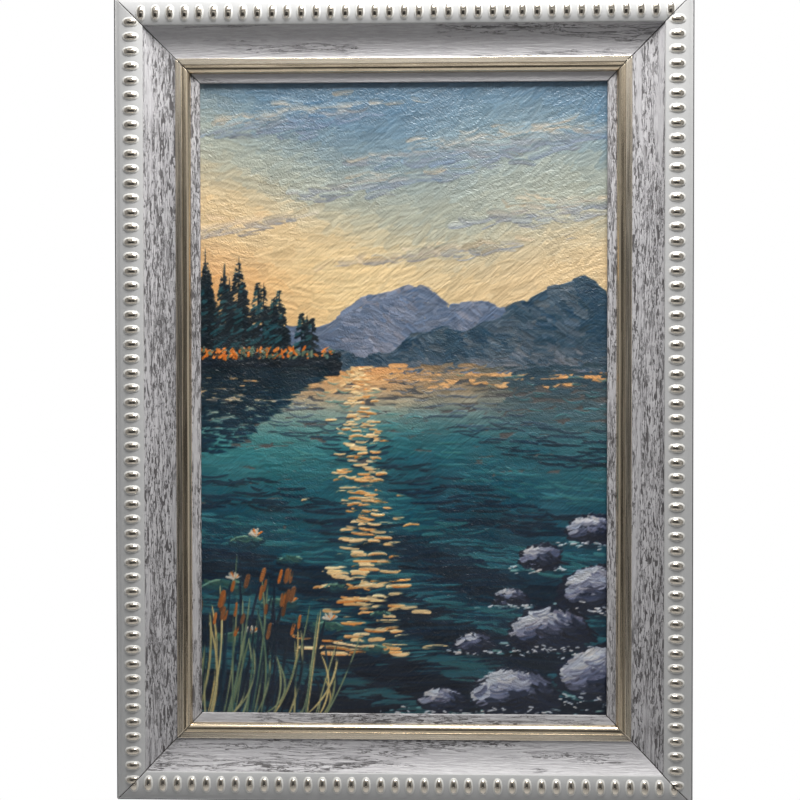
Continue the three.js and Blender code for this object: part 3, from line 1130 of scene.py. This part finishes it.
    def water(self) -> None:
        """Level strokes that grow longer and bolder towards the viewer, with dark and light ripples."""
        low, high = (-self.edge_x, -self.edge_y), (self.edge_x, self.shore - 1)
        for size, count in self.water_passes:
            for x, y in self.scatter(count, low, high):
                near = 0.55 + 0.010 * (self.shore - y)
                self.touch(x, y, 0.05 * math.sin(0.04 * x + 0.05 * y), size * 3.4 * near, size * 0.62 * near,
                           self.water_colour(x, y), spread=0.02, body=0.10, bend=self.about(0.7), wander=0.05)
        for x, y in self.scatter(self.ripples, low, (self.edge_x, self.shore - 5)):
            depth = self.shore - y
            near = 0.35 + 0.011 * depth
            wave = math.sin(0.11 * y * (1 + 0.4 * near) + 0.045 * x + 1.6 * math.sin(0.03 * x))
            base = self.water_colour(x, y)
            if wave > 0.15:
                colour, load = blend(base, blend(FAR_HILL, NAVY, smooth(8, 40, depth)), 0.6), 0.85
            elif wave < -0.35:
                colour, load = blend(base, TEAL_LIGHT, 0.55), 0.62
            else:
                continue
            self.touch(x, y, 0.07 * math.cos(0.05 * x), 15 * near, 1.5 * near, colour, load=load,
                       body=0.16, bend=self.about(0.9, 0.4), wander=0.04)

    def glitter(self) -> None:
        """Broken cream and orange dashes under the glow."""
        for _ in range(self.glints):
            depth = self.any() ** 1.5 * 128
            x = self.glow_x + 6 + 0.05 * depth + self.about(0.55) * (4 + 0.15 * depth)
            warm = self.any() < 0.28 + 0.002 * depth
            colour = ORANGE if warm else blend(SKY_CREAM, SKY_PEACH, self.any())
            self.touch(x, self.shore - 2 - depth, 0.0, 3.0 + 0.055 * depth, 0.8 + 0.008 * depth, colour,
                       second=SKY_GLOW, spread=0.04, load=self.any(0.55, 0.95), body=0.24, wander=0.05,
                       bend=self.about(0.4))

    def pine(self, x: float, foot: float, tall: float) -> None:
        """One pine: a thin trunk and drooping branches that widen downwards."""
        self.touch(x, foot + tall / 2, math.pi / 2, tall, 0.8, PINE_DARK, wander=0.02)
        steps = int(tall / 1.3)
        for i in range(steps):
            t = i / steps
            wide = (1 - t) * tall * 0.2 + 0.9
            for way in (-1, 1):
                light = PINE_LIGHT if way < 0 and self.any() < 0.35 else PINE_DARK
                self.touch(x + way * wide * 0.45, foot + tall * (0.08 + 0.9 * t), way * -0.45, wide * 1.1,
                           1.3, light, spread=0.025, body=0.22, load=0.85, wander=0.16)

    def headland(self) -> None:
        """A dark wooded point at the left with its reflection, and low bushes in autumn colour."""
        for x, t in self.scatter(420, (-self.edge_x, 0), (-30, 1)):
            top = self.shore + 4 + 7 * smooth(-34, -80, x)
            colour = blend(PINE_DARK, STONE_DARK, 0.4 * t)
            self.touch(x, top - t * (top - self.shore + 5), 0.1, 6, 2.2, colour, body=0.2)
        for x, t in self.scatter(560, (-self.edge_x, 0), (-36, 1)):
            y = self.shore - 2 - t * (34 * smooth(-30, -84, x) + 4)
            colour = blend(PINE_DARK, TEAL_DEEP, 0.25 + 0.6 * t)
            self.touch(x, y, 0.0, 6.5, 1.5, colour, load=1.0 - 0.4 * t, wander=0.05)
        for x in np.sort(self.rng.uniform(-92, -40, self.pines)):
            tall = (17 + 21 * smooth(-38, -84, x)) * self.any(0.75, 1.2)
            self.pine(x, self.shore + 3 + self.any(0, 4), tall)
        for _ in range(self.bushes):
            x, y = self.any(-90, -30), self.shore + 2.5 + self.any(0, 4.0)
            colour = ORANGE if self.any() < 0.55 else blend(PINE_LIGHT, STRAW, 0.4)
            self.touch(x, y, self.any(0.4, 2.6), 2.6, 1.4, colour, spread=0.05, body=0.3, load=0.9)

    def stone(self, x: float, y: float, wide: float, tall: float) -> None:
        """One rounded stone: a dark mass, turned planes and a light crown."""
        for _ in range(int(wide * tall * 0.16) + 14):
            px, py = self.within(x, y, wide * 0.44, tall * 0.44)
            self.touch(px, py, -1.6 * (px - x) / wide, wide * 0.34, tall * 0.2 + 0.8, STONE_DARK, spread=0.02,
                       body=0.2, bend=0.1 * tall)
        for _ in range(int(wide * tall * 0.22) + 16):
            px, py = self.within(x - 0.04 * wide, y + 0.07 * tall, wide * 0.40, tall * 0.38)
            lit = smooth(-0.5, 0.9, 1.6 * (py - y) / tall - 1.1 * (px - x) / wide + self.about(0.16))
            colour = blend(blend(STONE_DARK, STONE_MID, min(1, 2 * lit)), STONE_LIGHT, max(0, 2 * lit - 1))
            self.touch(px, py, -1.5 * (px - x) / wide, wide * 0.24, tall * 0.10 + 0.7, colour,
                       body=0.30, load=self.any(0.55, 0.95), bend=0.06 * tall)

    def near_bank(self) -> None:
        """Stones at the lower right with broken light round them."""
        for x, y, wide, tall in STONES:
            for _ in range(int(wide * 0.9)):
                px, py = x + self.about(0.48) * wide, y - 0.42 * tall + self.about(0.12) * tall
                colour = blend(STONE_LIGHT, TEAL_LIGHT, self.any(0, 0.7))
                self.touch(px, py, 0.0, 5.0, 0.9, colour, load=0.62, body=0.26, spread=0.04, wander=0.1)
            self.stone(x, y, wide, tall)
            for _ in range(int(wide * 1.6)):
                px, py = x + self.about(0.46) * wide, y - 0.50 * tall + self.about(0.07) * tall
                self.touch(px, py, 0.0, 2.4, 0.7, STONE_LIGHT, load=0.7, body=0.34, spread=0.05, wander=0.3)

    def lilies(self) -> None:
        """Flat round leaves on the near water at the left, a few with small pale flowers."""
        for x, y, wide in LEAVES:
            tall = wide * 0.36
            for _ in range(int(wide * 1.5)):
                px, py = self.within(x, y, wide * 0.4, tall * 0.42)
                colour = blend(TEAL_DEEP, GRASS, smooth(-1, 1, 2.4 * (py - y) / tall + self.about(0.3)))
                self.touch(px, py, 0.0, wide * 0.42, tall * 0.24 + 0.5, colour, body=0.2, bend=0.08 * wide)
            for _ in range(9):
                a = self.any(0.5, 2.9)
                self.touch(x + math.cos(a) * wide * 0.46, y + math.sin(a) * tall * 0.5, -0.5 * math.cos(a),
                           wide * 0.22, 0.8, blend(TEAL_LIGHT, STRAW, 0.35), load=0.75, body=0.26)
        for x, y in FLOWERS:
            for i in range(9):
                a = math.pi * (0.1 + 0.8 * i / 8)
                colour = ORANGE if i % 4 == 1 else blend(STONE_LIGHT, SKY_CREAM, 0.5)
                self.touch(x + 1.7 * math.cos(a), y + 1.4 * math.sin(a), a, 3.4, 1.2, colour, body=0.38)

    def reeds(self) -> None:
        """Long bent reeds that rise from the lower left edge across the water."""
        for i in range(self.dark_reeds + self.pale_reeds):
            foot = -96 + 62 * self.any() ** 1.4
            tall = self.any(28, 74) * (1 - 0.35 * smooth(-70, -34, foot))
            lean = math.pi / 2 - self.about(0.12, 0.16)
            dark = i < self.dark_reeds
            thick, ends, sunlit = (1.3, (NAVY, TEAL_DEEP), 0.0) if dark else (0.95, (GRASS, STRAW), 0.5)
            colour = blend(*ends, self.any())
            self.touch(foot + 0.5 * tall * math.cos(lean), -146 + 0.5 * tall, lean, tall, thick, colour,
                       second=blend(colour, STRAW, sunlit), bend=self.about(2.2, 2.6), load=0.95, body=0.28,
                       wander=0.0)
        for _ in range(self.reed_heads):
            x, y = self.any(-92, -46), self.any(-104, -78)
            colour = blend(ORANGE, STONE_DARK, self.any(0.1, 0.6))
            self.touch(x, y, math.pi / 2 - 0.2, 6.5, 1.9, colour, body=0.36)

    def paint(self) -> None:
        """Paints every passage, back to front."""
        for passage in (self.sky, self.hills, self.water, self.headland, self.glitter, self.lilies,
                        self.near_bank, self.reeds):
            passage()


@dataclass
class PaintFilm:
    """The dried paint on the board's front, in level strips that meet edge to edge."""

    board: Box
    sight: Point
    spacing: float = 0.44
    margin: float = 1.0
    border: float = 0.2
    ground: float = 0.04
    thickness: float = 0.72
    lip_room: float = 0.2
    lightest: float = 0.88
    contrast: float = 1.22
    flatness: float = 0.85
    strips: tuple[str, ...] = ("paint_lower", "paint_middle", "paint_upper")

    def build(self) -> list[Piece]:
        """Paints the picture and lays it on the board.

        Returns:
            The strips, from the lowest up.
        """
        canvas = Canvas()
        Landscape(canvas).paint()
        self.lay_out(canvas)
        rows = len(self.ys)
        cuts = [round(i * (rows - 1) / len(self.strips)) for i in range(len(self.strips) + 1)]
        return [self.strip(name, cuts[i], cuts[i + 1]) for i, name in enumerate(self.strips)]

    def lay_out(self, canvas: Canvas) -> None:
        """Samples the canvas at the film's own points and works out where they lie and how they face."""
        low, high = self.board
        half_board = Vector(((high.x - low.x) / 2, (high.z - low.z) / 2)) / MM
        reach = (full - self.border for full in half_board)
        self.xs, self.ys = map(self.lines, self.sight, reach)
        columns = np.clip(np.searchsorted(canvas.xs, self.xs), 1, len(canvas.xs) - 1)
        rows = np.clip(np.searchsorted(canvas.ys, self.ys), 1, len(canvas.ys) - 1)
        colour, relief = 0.0, 0.0
        for i in (0, 1):
            for j in (0, 1):
                grid = np.ix_(rows - i, columns - j)
                colour = colour + canvas.colour[grid] / 4
                relief = relief + canvas.relief[grid] / 4
        thick = self.ground + relief * self.thickness
        inside = np.minimum.outer(self.sight[1] - np.abs(self.ys), self.sight[0] - np.abs(self.xs))
        room = np.clip(inside / self.margin, 0.0, 1.0)
        thick = np.where(room < 1.0, np.minimum(thick, self.lip_room + 0.6 * room), thick)
        slope_y, slope_x = np.gradient(thick, self.ys, self.xs)
        normals = np.stack([-slope_x, -np.full_like(thick, self.flatness), -slope_y], -1)
        self.normals = normals / np.linalg.norm(normals, axis=-1, keepdims=True)
        centre = (low + high) / 2
        x = np.broadcast_to(self.xs * MM + centre.x, thick.shape)
        z = np.broadcast_to(self.ys[:, None] * MM + centre.z, thick.shape)
        self.places = np.stack([x, low.y - thick * MM, z], -1)
        shades = self.lightest * np.clip(colour, 0.0, 1.0) ** self.contrast
        linear = np.where(shades <= 0.04045, shades / 12.92, ((shades + 0.055) / 1.055) ** 2.4)
        self.pigment = np.concatenate([linear, np.ones((*linear.shape[:2], 1))], -1)

    def lines(self, half: float, full: float) -> np.ndarray:
        """Where the film's points lie one way: close over the opening, and one near the board's edge."""
        count = round(2 * (half + self.margin) / self.spacing)
        inner = np.linspace(-half - self.margin, half + self.margin, count + 1)
        return np.concatenate([[-full], inner, [full]])

    def strip(self, name: str, first: int, last: int) -> Piece:
        """One level strip of the film, closed down to the board.

        Args:
            name: the strip's name.
            first: its lowest row of points.
            last: its highest row.

        Returns:
            The strip.
        """
        rows, columns = last - first + 1, len(self.xs)
        deselect_all()
        bpy.ops.mesh.primitive_grid_add(x_subdivisions=columns - 1, y_subdivisions=rows - 1, size=2.0)
        piece = bpy.context.object
        piece.name = name
        mesh = piece.data
        flat = np.empty(len(mesh.vertices) * 3)
        mesh.vertices.foreach_get("co", flat)
        flat = flat.reshape(-1, 3)
        column = np.rint((flat[:, 0] + 1) / 2 * (columns - 1)).astype(int)
        row = np.rint((flat[:, 1] + 1) / 2 * (rows - 1)).astype(int) + first
        mesh.vertices.foreach_set("co", self.places[row, column].ravel())
        pigment = mesh.attributes.new(OilPaint.pigment, "FLOAT_COLOR", "POINT")
        pigment.data.foreach_set("color", self.pigment[row, column].astype(np.float32).ravel())
        count = len(mesh.vertices)
        with editing(piece):
            bpy.ops.mesh.select_mode(type="FACE")
            bpy.ops.mesh.region_to_loop()
            bpy.ops.mesh.extrude_edges_move(TRANSFORM_OT_translate={"value": (0, 0.1 * MM, 0)})
        floor = self.board[0].y
        for vertex in mesh.vertices[count:]:
            vertex.co.y = floor
        bpy.ops.object.mode_set(mode="EDIT")
        bpy.ops.mesh.edge_face_add()
        bpy.ops.mesh.select_mode(type="VERT")
        bpy.ops.object.mode_set(mode="OBJECT")
        mesh.shade_smooth()
        facing = np.tile((0.0, -1.0, 0.0), (len(mesh.vertices), 1))
        facing[:count] = self.normals[row, column]
        mesh.normals_split_custom_set_from_vertices(facing)
        self.unwrap(mesh)
        coat(piece, OilPaint())
        return piece

    @staticmethod
    def unwrap(mesh: bpy.types.Mesh) -> None:
        """Lays the strip's texture map flat, as seen from the front."""
        for layer in list(mesh.uv_layers):
            mesh.uv_layers.remove(layer)
        layer = mesh.uv_layers.new(name="OFBake")
        corners = np.empty(len(mesh.loops), int)
        mesh.loops.foreach_get("vertex_index", corners)
        places = np.empty(len(mesh.vertices) * 3)
        mesh.vertices.foreach_get("co", places)
        flat = places.reshape(-1, 3)[:, [0, 2]]
        low, high = flat.min(0), flat.max(0)
        layer.data.foreach_set("uv", ((flat - low) / (high - low))[corners].astype(np.float32).ravel())


@dataclass
class Backing:
    """What holds the picture from behind: the board itself, its tabs, and the hanger with its nails."""

    board: str = "painted_board"
    tabs: int = 6
    tab_edge: float = 0.08 * MM
    plate_edge: float = 0.14 * MM
    nail_edge: float = 0.16 * MM

    def build(self) -> list[Piece]:
        """Dresses the board and finishes the small steel pieces.

        Returns:
            The new steel pieces.
        """
        coat(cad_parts[self.board], Hardboard())
        pieces = [self.refined(f"holding_tab_{i}", self.tab_edge) for i in range(1, self.tabs + 1)]
        pieces.append(self.refined("hanger_plate", self.plate_edge))
        pieces += [self.refined(f"hanger_nail_{side}", self.nail_edge) for side in ("left", "right")]
        return pieces

    @staticmethod
    def refined(node: str, edge: float) -> Piece:
        """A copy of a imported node, merged, softened along its edges and finished in steel.

        Args:
            node: the node that the copy replaces.
            edge: the radius of its edges.

        Returns:
            The copy.
        """
        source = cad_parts[node]
        piece = source.copy()
        piece.data = source.data.copy()
        piece.name = f"{node}_fine"
        bpy.context.collection.objects.link(piece)
        piece.parent = None
        piece.matrix_world = source.matrix_world.copy()
        settle(piece, Matrix.Identity(4))
        with editing(piece):
            bpy.ops.mesh.remove_doubles(threshold=0.002 * MM)
            bpy.ops.mesh.dissolve_limited(angle_limit=math.radians(1))
            bpy.ops.mesh.normals_make_consistent(inside=False)
        soften(piece, edge, angle=24)
        coat(piece, ZincSteel())
        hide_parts(node)
        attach(piece, "root")
        return piece


@dataclass
class Studio:
    """The camera, the soft light and the pale floor round the picture."""

    centre: Vector
    back: float
    eye: Triple = (11.11 * MM, 22.905 * MM, 540 * MM)
    tilt: Triple = (0.014, -0.027, 0.0005)
    lens: float = 54.0
    shift: Point = (0.0053, -0.0446)
    floor_height: float = -0.75
    glow_heights: Point = (-0.2, 0.9)
    glow_strengths: Point = (0.04, 0.20)
    side_glow_reach: Point = (0.38, 0.80)
    side_glow: float = 0.30

    def build(self) -> None:
        """Sets up everything that isn't part of the picture."""
        bpy.context.scene.view_settings.view_transform = "Standard"
        self.camera()
        self.light("key", (0.08, -0.226, 0.515), (0.34, 0.16), 6.7, (1.0, 0.985, 0.96))
        self.light("upper", (0.06, -0.60, 0.305), (0.70, 0.09), 0.17, (1.0, 0.98, 0.95))
        self.light("lower", (-0.01, -0.55, -0.325), (0.34, 0.07), 0.055, (1.0, 0.97, 0.93))
        self.light("ceiling", (0.0, -0.40, 0.72), (1.1, 0.7), 1.7, (1.0, 0.99, 0.97))
        self.light("behind", (-0.35, 0.95, 0.45), (1.4, 1.4), 7.0, (1.0, 1.0, 1.0))
        self.light("fill", (0.60, -0.70, 0.05), (0.5, 0.9), 0.25, (0.96, 0.98, 1.0))
        self.surroundings()
        deselect_all()
        bpy.ops.mesh.primitive_plane_add(size=2.0, location=(0, 0, self.floor_height))
        floor = bpy.context.object
        floor.name = "floor"
        r = Recipe("pale_floor")
        r.set(Base_Color=(0.80, 0.80, 0.80, 1.0), Roughness=0.8)
        floor.data.materials.append(r.material)

    def camera(self) -> None:
        """Stands the camera where the photograph was taken from."""
        to_world = Matrix(((1, 0, 0), (0, 0, -1), (0, 1, 0)))
        turn = Matrix.Rotation(self.tilt[2], 3, "Z") @ Matrix.Rotation(self.tilt[1], 3, "Y")
        turn = turn @ Matrix.Rotation(self.tilt[0], 3, "X")
        data = bpy.data.cameras.new("camera")
        data.lens = self.lens
        data.sensor_width = 36.0
        data.shift_x, data.shift_y = self.shift
        data.clip_start = 0.01
        camera = bpy.data.objects.new("camera", data)
        bpy.context.collection.objects.link(camera)
        origin = Vector((self.centre.x, self.back, self.centre.z))
        place = Matrix.Translation(origin + to_world @ Vector(self.eye))
        camera.matrix_world = place @ (to_world @ turn.transposed()).to_4x4()
        bpy.context.scene.camera = camera

    def light(self, name: str, place: Triple, size: Point, power: float, tint: Colour) -> None:
        """Hangs a soft rectangular light that points at the picture's middle.

        Args:
            name: its name.
            place: where it hangs, from the picture's middle.
            size: its width and height.
            power: its strength in watts.
            tint: its colour.
        """
        data = bpy.data.lights.new(name, "AREA")
        data.shape = "RECTANGLE"
        data.size, data.size_y = size
        data.energy = power
        data.color = tint
        lamp = bpy.data.objects.new(name, data)
        bpy.context.collection.objects.link(lamp)
        lamp.location = self.centre + Vector(place)
        lamp.rotation_euler = (-Vector(place)).to_track_quat("-Z", "Y").to_euler()

    def surroundings(self) -> None:
        """A white backdrop to the camera, and a soft room to all else, bright above and aside."""
        world = bpy.data.worlds.new("studio")
        bpy.context.scene.world = world
        world.use_nodes = True
        world.node_tree.nodes.clear()
        n = Nodes(world.node_tree)
        place = n.add("ShaderNodeTexCoord").outputs["Generated"]
        ways = n.add("ShaderNodeSeparateXYZ", {0: place}).outputs
        above = n.step(ways["Z"], *self.glow_heights, *self.glow_strengths, kind="LINEAR")
        aside = n.step(n.math("ABSOLUTE", ways["X"]), *self.side_glow_reach, 0.0, self.side_glow)
        glow = n.math("ADD", above, aside)
        room = n.add("ShaderNodeBackground", {"Color": WHITE, "Strength": glow}).outputs[0]
        backdrop = n.add("ShaderNodeBackground", {"Color": WHITE}).outputs[0]
        seen = n.add("ShaderNodeLightPath").outputs["Is Camera Ray"]
        choice = n.add("ShaderNodeMixShader", {0: seen, 1: room, 2: backdrop}).outputs[0]
        n.add("ShaderNodeOutputWorld", {"Surface": choice})


def main() -> None:
    """Builds every piece in order and reports it."""
    logging.basicConfig(level=logging.INFO, format="%(name)s: %(message)s")
    low, high = box_of("rail_top")
    left, right, bottom = box_of("rail_left"), box_of("rail_right"), box_of("rail_bottom")
    half_width = (right[0].x - left[1].x) / 2
    half_height = (low.z - bottom[1].z) / 2
    centre = Vector(((right[0].x + left[1].x) / 2, 0, (low.z + bottom[1].z) / 2))
    back = high.y
    log.info("opening %.4f x %.4f, middle %s", 2 * half_width, 2 * half_height, tuple(centre))
    place = Matrix.Translation((centre.x, back, centre.z))
    for side in RailSide:
        level = side.run is Run.ALONG_X
        half, reach = (half_width, half_height) if level else (half_height, half_width)
        moulding, beads = Rail(side, half, reach, place).build()
        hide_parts(f"rail_{side.value}")
        for piece, slot in ((moulding, "moulding"), (beads, "beads")):
            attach(piece, "root")
            log.info("%s: %d faces", piece.name, len(piece.data.polygons))
    film = PaintFilm(box_of("painted_board"), (half_width / MM, half_height / MM))
    for piece in film.build():
        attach(piece, "root")
        log.info("%s: %d faces", piece.name, len(piece.data.polygons))
    for piece in Backing().build():
        log.info("%s: %d faces", piece.name, len(piece.data.polygons))
    Studio(centre, back).build()


if __name__ == "__main__":
    main()
